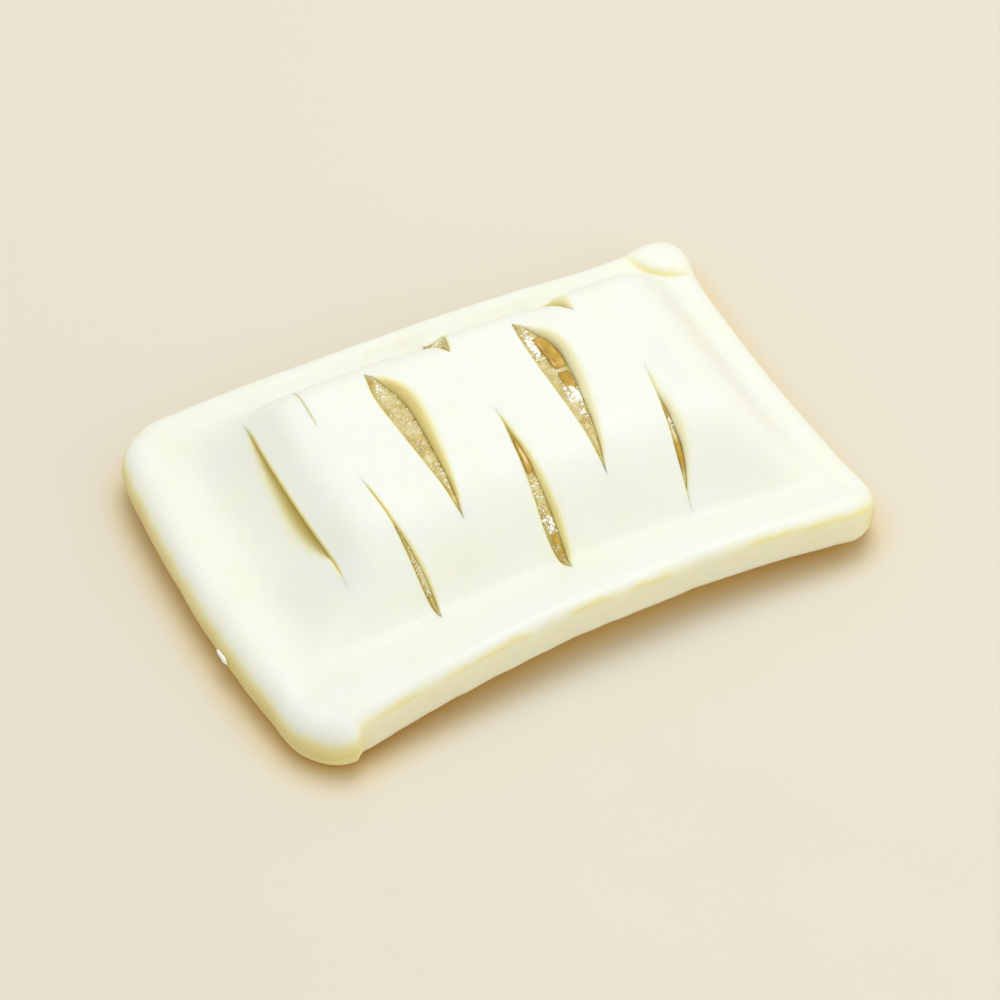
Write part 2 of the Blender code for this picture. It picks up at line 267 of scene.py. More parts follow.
def cleft(x, y):
    """1 along the fold, thinning out towards both of its ends."""
    turn = math.degrees(math.atan2(HALF_LENGTH - x, HALF_WIDTH - y)) - 45.0
    along = max(0.0, 1.0 - abs(turn) / CLEFT_HALF_ANGLE) ** 0.5
    return along * bump(beyond_fold(x, y), CLEFT_WIDTH * (0.4 + 0.6 * along))


def folded_tip(x, y):
    return FOLD_RISE * smooth(0.0, FOLD_SLOPE, beyond_fold(x, y)) - FOLD_CLEFT * cleft(x, y)


def lid_top(x, y):
    """The lid's upper face before it is cut."""
    flat = base_top(x, y) + SEAM + SHEET
    pressed = GROOVE_DEPTH * bump(min(behind_grooves(x, y)), GROOVE_WIDTH)
    uneven = sum(depth * wave(x, y, size) for depth, size in UNEVEN)
    return flat + MOUND_HEIGHT * mound_share(x, y) - pressed + folded_tip(x, y) + uneven


def lid_thickness(x, y):
    """The sheet's height where it slopes, and in the groove what the pressing has left of it."""
    step = 0.0005
    slope_x = (lid_top(x + step, y) - lid_top(x - step, y)) / (2.0 * step)
    slope_y = (lid_top(x, y + step) - lid_top(x, y - step)) / (2.0 * step)
    sloped = SHEET * math.sqrt(1.0 + min(1.0, slope_x**2 + slope_y**2))
    return min(sloped, lid_top(x, y) - base_top(x, y) - SEAM)


print("the mound's top is at mm:", round(1000 * lid_top(0.0, 0.004), 2))

# %% [markdown]
# ## The nine cuts
# A knife went through the lid nine times in two staggered rows, with a short third row at the
# back. As the filling swelled and froze, the lips of four cuts parted by one or two millimetres,
# those of two by three or four, and the rest hardly at all. Each cut is a straight line of the
# mesh that is split, and then its two lips are pushed apart along a lens shape. It tapers to a
# long end and is blunt at a short one. A Boolean cutter would give hard flat walls instead, and
# the dough beside it would not move.
#
# A cut says in which column it lies, in pitches from the middle, and from where to where. Then
# come how far it and each of its lips is moved aside, the share of its length where it is widest,
# and how far each lip sinks or rises. The last are the width of the soft strip beside each lip,
# the tint of its lips, which is partly buttery dough and partly painted shade, how far the cut
# leans, how far the blade slanted under the lid, the share of its length that is open, and how
# deep the gel lies below the lips, or 0 for no gel.

# %% How the lips part
PITCH = 0.0205
Cut = namedtuple(
    "Cut",
    "column near far shift left right widest sink rise soft_left soft_right tint"
    " lean under open_from open_to gel",
    defaults=(0.0, 0.0, 0.0, 1.0, 0.00015),
)
CUTS = (
    Cut(-1.5, -0.0112, 0.0204, 0.0026, -0.0009, -0.0003, 0.38, -0.0016, 0.0003, 0.0029, 0.0003, 1.00,
        lean=-0.0003, under=0.0018, open_from=0.14, gel=0),
    Cut(-0.5, -0.0098, 0.0183, -0.0013, 0.0004, 0.0028, 0.74, -0.0005, 0.0006, 0.0004, 0.0026, 0.95,
        lean=-0.0011),
    Cut(0.5, -0.0112, 0.0175, -0.0005, -0.0001, 0.0041, 0.74, -0.0005, 0.0006, 0.0004, 0.0028, 0.50,
        lean=0.0006),
    Cut(-1.0, -0.0190, 0.0012, 0.0009, 0.0003, 0.0005, 0.40, -0.0003, 0.0003, 0.0004, 0.0008, 0.80,
        lean=-0.0015, open_to=0.62, gel=0.00003),
    Cut(0.0, -0.0196, 0.0048, 0.0004, 0.0013, 0.0004, 0.30, -0.0005, 0.0004, 0.0004, 0.0016, 0.80,
        lean=0.0008, open_to=0.88),
    Cut(1.0, -0.0188, 0.0020, 0.0001, 0.0001, 0.0009, 0.42, -0.0004, 0.0004, 0.0003, 0.0020, 0.42,
        lean=0.0042, open_from=0.12, open_to=0.77),
    Cut(-1.0, 0.0126, 0.0216, -0.0008, -0.0001, 0.0000, 0.50, -0.0001, 0.0001, 0.0002, 0.0002, 0.55,
        gel=0),
    Cut(0.0, 0.0162, 0.0252, 0.0002, 0.0006, 0.0013, 0.68, -0.0013, 0.0003, 0.0024, 0.0004, 0.80),
    Cut(1.0, 0.0156, 0.0262, -0.0026, -0.0001, 0.0003, 0.60, -0.0013, 0.0002, 0.0026, 0.0024, 0.55,
        lean=-0.0024, gel=0),
)
SAME_PLACE = 0.00001
CUT_REACH = 0.0055
FADE_SHARE = 0.25
SHARP_END = 1.3
BLUNT_END = 2.2
LIP_CRISP = 0.00035
LIP_FALL = 0.62
LIP_POWER = 2.2
LIP_START = 0.12
LONG_END = (0.35, 0.65)
UNDER_REACH = 0.0030


def lens(cut, share, end):
    """The opening along a cut, from 0 to 1. It tapers to a long end and is blunt at a short one."""
    share = (share - cut.open_from) / (end - cut.open_from)
    if not 0.0 < share < 1.0:
        return 0.0
    near_end = share < cut.widest
    run = cut.widest if near_end else 1.0 - cut.widest
    power = BLUNT_END + (SHARP_END - BLUNT_END) * smooth(*LONG_END, run)
    return 1.0 - (1.0 - (share if near_end else 1.0 - share) / run) ** power


def ends_fade(share):
    """1 along a cut, and 0 at its two ends."""
    return smooth(0.0, LIP_START, share) * smooth(0.0, LIP_START, 1.0 - share)


def cut_shift(cuts, x, y, side):
    """How far the open cuts push a point of the lid sideways and up. side is -1 or 1 on a lip."""
    push = 0.0
    lift = 0.0
    for cut in cuts:
        away = x - cut.column * PITCH
        hand = side if abs(away) < SAME_PLACE else math.copysign(1.0, away)
        reach = bump(away, CUT_REACH)
        share = (y - cut.near) / (cut.far - cut.near)
        open_share = lens(cut, share, cut.open_to)
        fade = bump(max(0.0, -share, share - 1.0), FADE_SHARE)
        centred = min(1.2, max(-0.2, share)) - 0.5
        parting = -cut.left if hand < 0 else cut.right
        push += reach * (open_share * parting + fade * (cut.shift + cut.lean * centred))
        lift += reach * open_share * (cut.sink if hand < 0 else cut.rise)
    return push, lift


Lip = namedtuple("Lip", "nearness width ends tint")
NO_LIP = Lip(0.0, 0.0, 0.0, 0.0)


def lip_beside(cuts, x, y, side):
    """The soft strip along a lip, where the top rounds over: 0 at its outer edge and 1 on the lip."""
    for cut in cuts:
        share = (y - cut.near) / (cut.far - cut.near)
        away = x - cut.column * PITCH
        hand = side if abs(away) < SAME_PLACE else math.copysign(1.0, away)
        soft = cut.soft_left if hand < 0 else cut.soft_right
        width = LIP_CRISP + (soft - LIP_CRISP) * lens(cut, share, 1.0)
        if 0.0 < share < 1.0 and abs(away) < width:
            return Lip(1.0 - abs(away) / width, width, ends_fade(share), cut.tint)
    return NO_LIP


def lip_fall(cuts, x, y, side):
    """How far the top has rounded down there."""
    lip = lip_beside(cuts, x, y, side)
    return LIP_FALL * lip.width * lip.ends * rounding(1.0 - lip.nearness, 1.0, LIP_POWER)


def undercut(cuts, x, y):
    """How far the blade slanted to the right on its way down, so that one lip hangs over the other."""
    shift = 0.0
    for cut in cuts:
        share = (y - cut.near) / (cut.far - cut.near)
        shift += cut.under * ends_fade(share) * bump(x - cut.column * PITCH, UNDER_REACH)
    return shift


print("the widest cut parts by mm:", 1000 * max(c.left + c.right for c in CUTS))

# %% [markdown]
# ## The skin's mesh
# Rolled dough that has been pressed together at the rim shows as one skin. So both sheets are
# made as one closed mesh. It starts as two flat grids, one for the top and one for the bottom,
# whose lines crowd together at the rim and at the cuts, where the form turns fast. Extruding the
# faces over the hollow gives each sheet its inner face, and the lid's cuts their walls.

# %% Lines of the two grids
RIM_LINES = (0.0, 0.00010, 0.00025, 0.00050, 0.00085, 0.0013, 0.00185, 0.0025, 0.0032)
LIP_LINES = (0.00012, 0.00035, 0.0007, 0.0012)
SKIN_STEP = 0.0008
HOLLOW_LOW = (-0.0360, -0.0205)
HOLLOW_HIGH = (0.0370, 0.0272)


def between(start, end, step):
    """Places from start up to but without end, evenly spaced and no further apart than step."""
    count = max(1, math.ceil((end - start) / step - 0.01))
    return [start + (end - start) * i / count for i in range(count)]


def skin_lines(half, anchors):
    """Mesh lines from -half to half, close together at the rim, and one on each anchor."""
    stops = [RIM_LINES[-1] - half, *anchors, half - RIM_LINES[-1]]
    lines = [line - half for line in RIM_LINES[:-1]]
    for start, end in zip(stops, stops[1:]):
        lines += between(start, end, SKIN_STEP)
    return lines + [half - line for line in reversed(RIM_LINES)]


cut_anchors = []
for half_pitches in range(-3, 3):
    middle = half_pitches * PITCH / 2.0
    cut_anchors += [middle - line for line in reversed(LIP_LINES)]
    cut_anchors += [middle]
    cut_anchors += [middle + line for line in LIP_LINES]
columns = skin_lines(HALF_LENGTH, cut_anchors)
rows = skin_lines(HALF_WIDTH, [])
print(len(columns), "columns and", len(rows), "rows")

# %% [markdown]
# The cuts' ends are moved to the nearest rows first, so that each cut starts and stops at a
# point of the grid. A cut's edges are then split, which leaves two rows of points in the same
# place: the two lips. Each point keeps its place on the true rectangle and its lip in a layer of
# the mesh, because the extrusion copies that layer to the points that it makes.

# %% Two grids, one of them cut
def grid_verts(bm):
    """Adds a flat grid whose lines are the columns and rows, and returns its points."""
    made = bmesh.ops.create_grid(bm, x_segments=len(columns) - 1, y_segments=len(rows) - 1, size=1.0)
    for vert in made["verts"]:
        column = round((vert.co.x + 1.0) / 2.0 * (len(columns) - 1))
        row = round((vert.co.y + 1.0) / 2.0 * (len(rows) - 1))
        vert.co = Vector((columns[column], rows[row], 0.0))
    return made["verts"]


def nearest_row(value):
    return min(rows, key=lambda line: abs(line - value))


def on_cut(edge):
    ends = [v.co for v in edge.verts]
    middle = (ends[0] + ends[1]) / 2.0
    if abs(ends[0].x - ends[1].x) > SAME_PLACE:
        return False
    return any(
        abs(middle.x - cut.column * PITCH) < SAME_PLACE and cut.near < middle.y < cut.far for cut in cuts
    )


def lip_side(vert):
    """-1 on a cut's left lip, 1 on its right lip and 0 elsewhere, from where its faces lie."""
    rim = min(HALF_LENGTH - abs(vert.co.x), HALF_WIDTH - abs(vert.co.y)) < SAME_PLACE
    if rim or not vert.is_boundary:
        return 0
    middle = sum(f.calc_center_median().x for f in vert.link_faces) / len(vert.link_faces)
    return 0 if abs(middle - vert.co.x) < SAME_PLACE else math.copysign(1, middle - vert.co.x)


BOTTOM, BASE_TOP, LID_UNDER, LID_TOP = 0, 1, 2, 3
cuts = [c._replace(near=nearest_row(c.near), far=nearest_row(c.far)) for c in CUTS]
skin = bmesh.new()
place = skin.verts.layers.float_vector.new("place")
level = skin.verts.layers.int.new("level")
# a butter value on every point: the dough's own cream and yellow, and painted shade as well
butter_and_shade = skin.verts.layers.float.new("butter_and_shade")
grid_verts(skin)
bmesh.ops.split_edges(skin, edges=[e for e in skin.edges if on_cut(e)])
for vert in skin.verts:
    vert[place] = Vector((vert.co.x, vert.co.y, lip_side(vert)))
    vert[level] = LID_TOP
for vert in grid_verts(skin):
    vert[place] = Vector((vert.co.x, vert.co.y, 0.0))
    vert[level] = BOTTOM
print(sum(v[place].z != 0.0 for v in skin.verts), "points lie on a lip")

# %% [markdown]
# Extruding with the originals kept makes a copy of the faces over the hollow and walls that join
# it to them. The walls in the cuts stay. The walls round the hollow's outline would close each
# sheet by itself, and they come out, so that the two inner faces can be welded to each other.

# %% Inner faces and the walls of the cuts
def over_hollow(face):
    middle = face.calc_center_median()
    across_x = HOLLOW_LOW[0] < middle.x < HOLLOW_HIGH[0]
    return across_x and HOLLOW_LOW[1] < middle.y < HOLLOW_HIGH[1]


for outer, inner in ((LID_TOP, LID_UNDER), (BOTTOM, BASE_TOP)):
    sheet = [f for f in skin.faces if all(v[level] == outer for v in f.verts) and over_hollow(f)]
    made = bmesh.ops.extrude_face_region(skin, geom=sheet, use_keep_orig=True)
    for item in made["geom"]:
        if isinstance(item, bmesh.types.BMVert):
            item[level] = inner
outline_walls = []
for face in skin.faces:
    mixed = len({v[level] for v in face.verts}) == 2
    if mixed and all(v[place].z == 0.0 for v in face.verts):
        outline_walls.append(face)
bmesh.ops.delete(skin, geom=outline_walls, context="FACES")
print(len(outline_walls), "walls taken out round the hollow")

# %% [markdown]
# The fold of the far right corner runs aslant over the grid, and its cleft is as narrow as one
# cell. The cells along it are subdivided, and the new points get their places in between.

# %% Smaller cells along the fold
FOLD_CELLS = 0.0016


def by_fold(edge):
    for vert in edge.verts:
        x, y, _ = vert[place]
        outside = edge_inset(x, y) < SAME_PLACE
        if vert[level] != LID_TOP or outside or abs(beyond_fold(x, y)) > FOLD_CELLS:
            return False
    return True


fold_edges = [e for e in skin.edges if by_fold(e)]
bmesh.ops.subdivide_edges(skin, edges=fold_edges, cuts=3, use_grid_fill=True)
print(len(fold_edges), "edges by the fold")

# %% [markdown]
# Now each point gets its height. On the left, right and far sides the rim is a rounded fold. The
# near side was trimmed with a blade, so it keeps a flat face with a tight curve above and below.
# One rounding function does both: a power of 2 gives a quarter circle, and more a squarer edge.

# %% Heights of the four faces
RIM_DROP = 0.0036
RIM_WIDE = 0.0034
RIM_RISE = 0.0029
FOOT_WIDE = 0.0017
FOLDED_POWER = 2.2
TRIMMED_POWER = 2.5
TRIMMED_FOOT = 0.0008
TRIM_BLEND = 0.0040
TRIM_REACH = 0.0009
TRIM_ROUGH = ((0.00012, 0.0030), (0.00005, 0.0011))
INNER_ROUND = 0.0004
RIM_FIRM = 0.0035


def trimmed_share(x, y):
    """1 along the near side, which was cut with a blade, and 0 on the folded sides and the lobe."""
    from_near = HALF_WIDTH + y
    from_side = min(HALF_LENGTH - x, HALF_LENGTH + x - LOBE_LENGTH + TRIM_BLEND / 2.0)
    return (1.0 - smooth(TRIM_BLEND, 2.0 * TRIM_BLEND, from_near)) * smooth(0.0, TRIM_BLEND, from_side)


def rim_power(x, y):
    trimmed = trimmed_share(x, y)
    return FOLDED_POWER + (TRIMMED_POWER - FOLDED_POWER) * trimmed


def top_height(x, y, side):
    _, lift = cut_shift(cuts, x, y, side)
    fall = RIM_DROP * rounding(edge_inset(x, y), RIM_WIDE, rim_power(x, y))
    return lid_top(x, y) + lift - fall - lip_fall(cuts, x, y, side)


def bottom_height(x, y, _):
    if edge_inset(x, y) < SAME_PLACE / 10.0:
        return top_height(x, y, 0)
    foot = FOOT_WIDE + (TRIMMED_FOOT - FOOT_WIDE) * trimmed_share(x, y)
    return underside(x, y) + RIM_RISE * rounding(edge_inset(x, y), foot, rim_power(x, y))


def lid_under_height(x, y, side):
    _, lift = cut_shift(cuts, x, y, side)
    lip = INNER_ROUND if side else 0.0
    return max(lid_top(x, y) + lift + lip - lid_thickness(x, y), base_top(x, y) + SEAM)


def base_top_height(x, y, _):
    return base_top(x, y)


def seam_height(x, y, side):
    return (lid_under_height(x, y, side) + base_top(x, y)) / 2.0


HEIGHTS = {
    BOTTOM: bottom_height,
    BASE_TOP: base_top_height,
    LID_UNDER: lid_under_height,
    LID_TOP: top_height,
}


def trim_roughness(x, y, z):
    """The trimmed near face is a little uneven, as dough is that a blade has dragged."""
    near = bump(HALF_WIDTH + y, TRIM_REACH) * trimmed_share(x, y)
    return near * sum(depth * wave(x, z, size, seed=3.0) for depth, size in TRIM_ROUGH)


for vert in skin.verts:
    x, y, side = vert[place]
    lid = vert[level] in (LID_TOP, LID_UNDER)
    push, _ = cut_shift(cuts, x, y, side) if lid else (0.0, 0.0)
    push *= smooth(0.0, RIM_FIRM, min(HALF_LENGTH - abs(x), HALF_WIDTH - abs(y)))
    push += undercut(cuts, x, y) if vert[level] == LID_UNDER else 0.0
    joins = vert.is_boundary and vert[level] in (BASE_TOP, LID_UNDER)
    height = (seam_height if joins else HEIGHTS[vert[level]])(x, y, side)
    plan_x, plan_y = plan_point(x + (0.0 if joins else push), y)
    vert.co = Vector((plan_x, plan_y + trim_roughness(x, y, height), height))
print("the lid reaches mm:", round(1000 * max(v.co.z for v in skin.verts), 2))

# %% [markdown]
# Welding the four open borders in pairs closes the skin: the lid's outline to the base's, and
# the lid's inner border to the base's. The walls of the cuts are still one face high, so they
# are subdivided, and the points that this makes are pulled about a little, because a blade
# leaves dough torn rather than flat. The normals are recalculated last, on the closed shell.

# %% Welding and the torn walls
TEAR = 0.00002
TEAR_SIZE = 0.0016

borders = [v for v in skin.verts if v.is_boundary]
bmesh.ops.remove_doubles(skin, verts=borders, dist=SAME_PLACE / 5.0)
uprights = []
for edge in skin.edges:
    levels = {v[level] for v in edge.verts}
    if levels == {LID_TOP, LID_UNDER}:
        uprights.append(edge)
made = bmesh.ops.subdivide_edges(skin, edges=uprights, cuts=3, use_grid_fill=True)
torn = [g for g in made["geom_inner"] if isinstance(g, bmesh.types.BMVert)]
for vert in torn:
    pull = TEAR * noise.noise_vector(vert.co / TEAR_SIZE)
    vert.co += pull if vert[place].z else Vector((0.0, 0.0, 0.0))
bmesh.ops.recalc_face_normals(skin, faces=list(skin.faces))
torn = set(torn)
print("open edges left:", sum(not e.is_manifold for e in skin.edges))

# %% [markdown]
# Raw dough is whitest on its floured faces. Where it was cut or folded, the butter shows and it
# turns cream to yellow. A value on every point says how buttery the dough is there, and the finish
# reads it. The same value also carries painted shade: it deepens towards the foot of the rim's
# sides, in the pressed groove, in the fold's cleft and on the lips beside the cuts. Painting it by
# place alone would not follow the lips as they part.

# %% Where the butter shows, and where shade is painted
INNER_BUTTER = 0.66
BELLY_BUTTER = 0.15
# painted shade in the pressed groove: how strong it is and how wide
GROOVE_PAINTED_SHADE = 0.07
GROOVE_SHADE_WIDTH = 0.0060


def rim_butter_and_shade(x, y, fallen):
    """Cream on the sides of the rim, with a ragged yellow line along the top of the trimmed face. On the
    folded sides it deepens towards the foot, partly the dough's own cream and partly painted shade.
    """
    trimmed = trimmed_share(x, y)
    crumbly = fallen + 0.07 * wave(x, y, 0.0030, seed=6.0) + 0.03 * wave(x, y, 0.0011, seed=7.0)
    ragged = 0.5 + 0.5 * wave(x, y, 0.0070, seed=5.0)
    # partly painted shade: the folded sides turn darker and yellower as they round down to the foot
    folded = 0.70 * smooth(0.20, 0.62, crumbly) + 0.18 * smooth(0.60, 0.98, fallen)
    line = bump(crumbly - 0.32, 0.12) * smooth(0.35, 0.60, ragged)
    cut_face = 0.31 * smooth(0.05, 0.55, crumbly) + 0.50 * line
    return folded * (1.0 - trimmed) + cut_face * trimmed


# Painted shade: the pressed groove is tinted towards cream, where shade falls in it.
def groove_painted_shade(x, y):
    return GROOVE_PAINTED_SHADE * bump(min(behind_grooves(x, y)), GROOVE_SHADE_WIDTH)


def lip_butter_and_shade(x, y, side):
    """Strong on a lip, fading over the dough that has rounded over beside it. It is partly the cut
    dough's own yellow and partly painted shade, where a lip rounds down beside its cut.
    """
    lip = lip_beside(cuts, x, y, side)
    return lip.tint * lip.ends * smooth(0.12, 0.80, lip.nearness)


# the butter value of a point, with the painted shade of grooves, lips, cleft and rim foot added in
def butter_and_shade_at(vert):
    x, y, side = vert[place]
    if vert in torn or vert[level] in (LID_UNDER, BASE_TOP):
        return INNER_BUTTER
    if vert[level] == BOTTOM:
        at_foot = rounding(edge_inset(x, y), FOOT_WIDE, FOLDED_POWER)
        return BELLY_BUTTER + (rim_butter_and_shade(x, y, 1.0) - BELLY_BUTTER) * at_foot
    fallen = rounding(edge_inset(x, y), RIM_WIDE, rim_power(x, y))
    shown = rim_butter_and_shade(x, y, fallen) + groove_painted_shade(x, y) + lip_butter_and_shade(x, y, side)
    # the fold's cleft is tinted yellow: painted shade in the crease
    return min(1.0, shown + 0.7 * cleft(x, y))


for vert in skin.verts:
    vert[butter_and_shade] = butter_and_shade_at(vert)
print("most butter on a point:", round(max(v[butter_and_shade] for v in skin.verts), 2))

# %% A piece from a bmesh
SHARP_ANGLE = math.radians(60.0)


def add_piece(name, bm, finish, stands_for):
    """Turns a bmesh into a shown piece at the origin, which rides on the pie."""
    mesh = bpy.data.meshes.new(name)
    bm.to_mesh(mesh)
    bm.free()
    mesh.shade_smooth()
    mesh.set_sharp_from_angle(angle=SHARP_ANGLE)
    mesh.materials.append(finish)
    piece = bpy.data.objects.new(name, mesh)
    bpy.context.scene.collection.objects.link(piece)
    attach(piece, "root")
    if stands_for:
        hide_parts(*stands_for)
    mesh.calc_loop_triangles()
    print(name, "has", len(mesh.loop_triangles), "triangles")
    return piece


# %% [markdown]
# ## Finishes
# Every finish on this pie is patchy: dough, gel and apple all vary over a few millimetres and
# again over a few tenths. One node group makes both patterns from the place on the piece, and
# each finish sets its own two sizes. The group gives out plain masks, and the shader stays in
# the material.

# %% The shared patches
NOISE_LOW = 0.32
NOISE_HIGH = 0.68


def add_node(tree, kind, **settings):
    made = tree.nodes.new(kind)
    for name, value in settings.items():
        setattr(made, name, value)
    return made


def patches_group():
    """Masks from 0 to 1: broad patches, and a fine grain."""
    tree = bpy.data.node_groups.new("patches_and_grain", "ShaderNodeTree")
    tree.interface.new_socket("Place", in_out="INPUT", socket_type="NodeSocketVector")
    for name, value in (("Patch Size", 0.006), ("Grain Size", 0.0005)):
        socket = tree.interface.new_socket(name, in_out="INPUT", socket_type="NodeSocketFloat")
        socket.default_value = value
    for name in ("Patches", "Grain"):
        tree.interface.new_socket(name, in_out="OUTPUT", socket_type="NodeSocketFloat")
    inward = add_node(tree, "NodeGroupInput")
    outward = add_node(tree, "NodeGroupOutput")
    for size, name, detail in (("Patch Size", "Patches", 3.0), ("Grain Size", "Grain", 2.0)):
        scale = add_node(tree, "ShaderNodeMath", operation="DIVIDE")
        scale.inputs[0].default_value = 1.0
        tree.links.new(inward.outputs[size], scale.inputs[1])
        pattern = add_node(tree, "ShaderNodeTexNoise")
        pattern.inputs["Detail"].default_value = detail
        tree.links.new(inward.outputs["Place"], pattern.inputs["Vector"])
        tree.links.new(scale.outputs[0], pattern.inputs["Scale"])
        spread = add_node(tree, "ShaderNodeMapRange")
        spread.inputs["From Min"].default_value = NOISE_LOW
        spread.inputs["From Max"].default_value = NOISE_HIGH
        tree.links.new(pattern.outputs["Fac"], spread.inputs["Value"])
        tree.links.new(spread.outputs["Result"], outward.inputs[name])
    return tree


PATCHES = patches_group()
print("patches_and_grain gives", [s.name for s in PATCHES.interface.items_tree if s.in_out == "OUTPUT"])

# %% [markdown]
# A finish then needs four things: a colour ramp, a roughness range, a bump and, for food that
# light enters, subsurface scattering. A small function sets up what they share, and each
# finish adds what is its own.

# %% Start of a finish
Finish = namedtuple("Finish", "material tree shader spot patches grain")


def start_finish(name, patch_size, grain_size):
    material = bpy.data.materials.new(name)
    material.use_nodes = True
    tree = material.node_tree
    shader = tree.nodes["Principled BSDF"]
    spot = add_node(tree, "ShaderNodeTexCoord").outputs["Object"]
    group = add_node(tree, "ShaderNodeGroup", node_tree=PATCHES)
    group.inputs["Patch Size"].default_value = patch_size
    group.inputs["Grain Size"].default_value = grain_size
    tree.links.new(spot, group.inputs["Place"])
    return Finish(material, tree, shader, spot, group.outputs["Patches"], group.outputs["Grain"])


def mapped(finish, value, low, high):
    """A mask from 0 to 1 as a value from low to high."""
    node = add_node(finish.tree, "ShaderNodeMapRange")
    node.inputs["To Min"].default_value = low
    node.inputs["To Max"].default_value = high
    finish.tree.links.new(value, node.inputs["Value"])
    return node.outputs["Result"]


def added(finish, first, second):
    node = add_node(finish.tree, "ShaderNodeMath", operation="ADD")
    finish.tree.links.new(first, node.inputs[0])
    finish.tree.links.new(second, node.inputs[1])
    return node.outputs[0]


def ramp(finish, value, stops):
    """A colour that runs through the stops, each a position and a colour, as the value climbs."""
    node = add_node(finish.tree, "ShaderNodeValToRGB")
    elements = node.color_ramp.elements
    while len(elements) < len(stops):
        elements.new(0.5)
    for element, (position, colour) in zip(elements, stops):
        element.position = position
        element.color = (*colour, 1.0)
    finish.tree.links.new(value, node.inputs["Fac"])
    return node.outputs["Color"]


def raise_surface(finish, height, strength, distance):
    node = add_node(finish.tree, "ShaderNodeBump")
    node.inputs["Strength"].default_value = strength
    node.inputs["Distance"].default_value = distance
    finish.tree.links.new(height, node.inputs["Height"])
    finish.tree.links.new(node.outputs["Normal"], finish.shader.inputs["Normal"])


# %% [markdown]
# ### Raw dough
# Raw dough is satin, off-white with a green-yellow breath, and light goes a little way in. Its
# colour ramp follows the butter value, which also carries painted shade: flour-white, cream, the
# yellow of a torn wall, and a deep tan that serves mostly as painted shade. The patches nudge that
# value so that no face is one even colour, and a fine grain with a few pits roughens it.

# %% Dough finish
DOUGH_AND_SHADE_STOPS = (
    (0.00, (0.875, 0.885, 0.805)),
    (0.30, (0.885, 0.870, 0.650)),
    (0.62, (0.870, 0.800, 0.420)),
    (1.00, (0.760, 0.630, 0.230)),
)
dough = start_finish("raw_dough_painted_shade_finish", patch_size=0.007, grain_size=0.0006)
butter_and_shade_value = add_node(dough.tree, "ShaderNodeAttribute", attribute_name="butter_and_shade").outputs["Fac"]
nudged = added(dough, butter_and_shade_value, mapped(dough, dough.patches, -0.05, 0.06))
dough.tree.links.new(ramp(dough, nudged, DOUGH_AND_SHADE_STOPS), dough.shader.inputs["Base Color"])
dough.tree.links.new(mapped(dough, dough.patches, 0.42, 0.56), dough.shader.inputs["Roughness"])
pits = add_node(dough.tree, "ShaderNodeTexVoronoi")
pits.inputs["Scale"].default_value = 420.0
dough.tree.links.new(dough.spot, pits.inputs["Vector"])
pit_edge = add_node(dough.tree, "ShaderNodeMapRange")
pit_edge.inputs["From Min"].default_value = 0.02
pit_edge.inputs["From Max"].default_value = 0.16
dough.tree.links.new(pits.outputs["Distance"], pit_edge.inputs["Value"])
surface = added(dough, mapped(dough, dough.grain, 0.0, 0.5), pit_edge.outputs["Result"])
raise_surface(dough, surface, strength=0.25, distance=0.00012)
dough.shader.inputs["Subsurface Weight"].default_value = 0.35
dough.shader.inputs["Subsurface Radius"].default_value = (1.0, 0.8, 0.4)
dough.shader.inputs["Subsurface Scale"].default_value = 0.0012
dough.shader.inputs["Specular IOR Level"].default_value = 0.35
pastry = add_piece("pastry", skin, dough.material, ("dough_lid", "dough_base"))

# %% [markdown]
# ## The filling
# Under the lid lies diced apple in a thick straw-coloured gel. Its top presses up against the
# lid and swells into the openings. It could be a heap of separate dice, but only its top shows,
# in slits a few millimetres wide. So it is one sheet with a top and a bottom: rays cast up at
# the finished pastry find the hollow's roof, and the relief of the dice is taken off it.

# %% The hollow's roof
FILLING_LOW = (-0.0290, -0.0140)
FILLING_HIGH = (0.0345, 0.0225)
FILLING_CORNER = 0.0085
FILLING_STEP = 0.0009
FILLING_CLEAR = 0.0003
FILLING_LEAST = 0.0003
SEARCH_RINGS = (0.0009, 0.0016, 0.0024, 0.0034)
SEARCH_TURNS = 8
UPWARD = Vector((0.0, 0.0, 1.0))
pastry_tree = BVHTree.FromObject(pastry, bpy.context.evaluated_depsgraph_get())


def roof_near(plan_x, plan_y, floor_z):
    """The hollow's lowest roof close to a place, or the lips' lower edge beside an opening."""
    middle = Vector((plan_x, plan_y, floor_z))
    for radius in SEARCH_RINGS:
        starts = [middle]
        for turn in range(SEARCH_TURNS):
            angle = math.tau * turn / SEARCH_TURNS
            starts.append(middle + Vector((radius * math.cos(angle), radius * math.sin(angle), 0.0)))
        hits = [pastry_tree.ray_cast(start, UPWARD)[0] for start in starts]
        if any(hits):
            return min(hit.z for hit in hits if hit)
    return floor_z


print("roof over the middle at mm:", round(1000 * roof_near(0.006, 0.0, 0.006), 2))

# %% The sheet of gel under the lid
DICE_SIZE = 0.0048
DICE_RELIEF = 0.0008


def dice_relief(x, y):
    """0 on top of a piece of diced apple, and up to 1 in the hollows between pieces."""
    distances, _ = noise.voronoi(Vector((x, y, 0.0)) / DICE_SIZE, exponent=2.5)
    return 1.0 - smooth(0.05, 0.40, distances[1] - distances[0])


def filling_spot(x, y):
    """Carries a place on the filling's own rectangle to the pie's, with round corners."""
    x, y = rounded_corner(x, y, half_x, half_y, FILLING_CORNER)
    return x + FILLING_LOW[0] + half_x, y + FILLING_LOW[1] + half_y


def filling_top(plan_x, plan_y, floor_z):
    roof = roof_near(plan_x, plan_y, floor_z + FILLING_LEAST / 2.0) - FILLING_CLEAR
    return max(roof - DICE_RELIEF * dice_relief(plan_x, plan_y), floor_z + FILLING_LEAST)


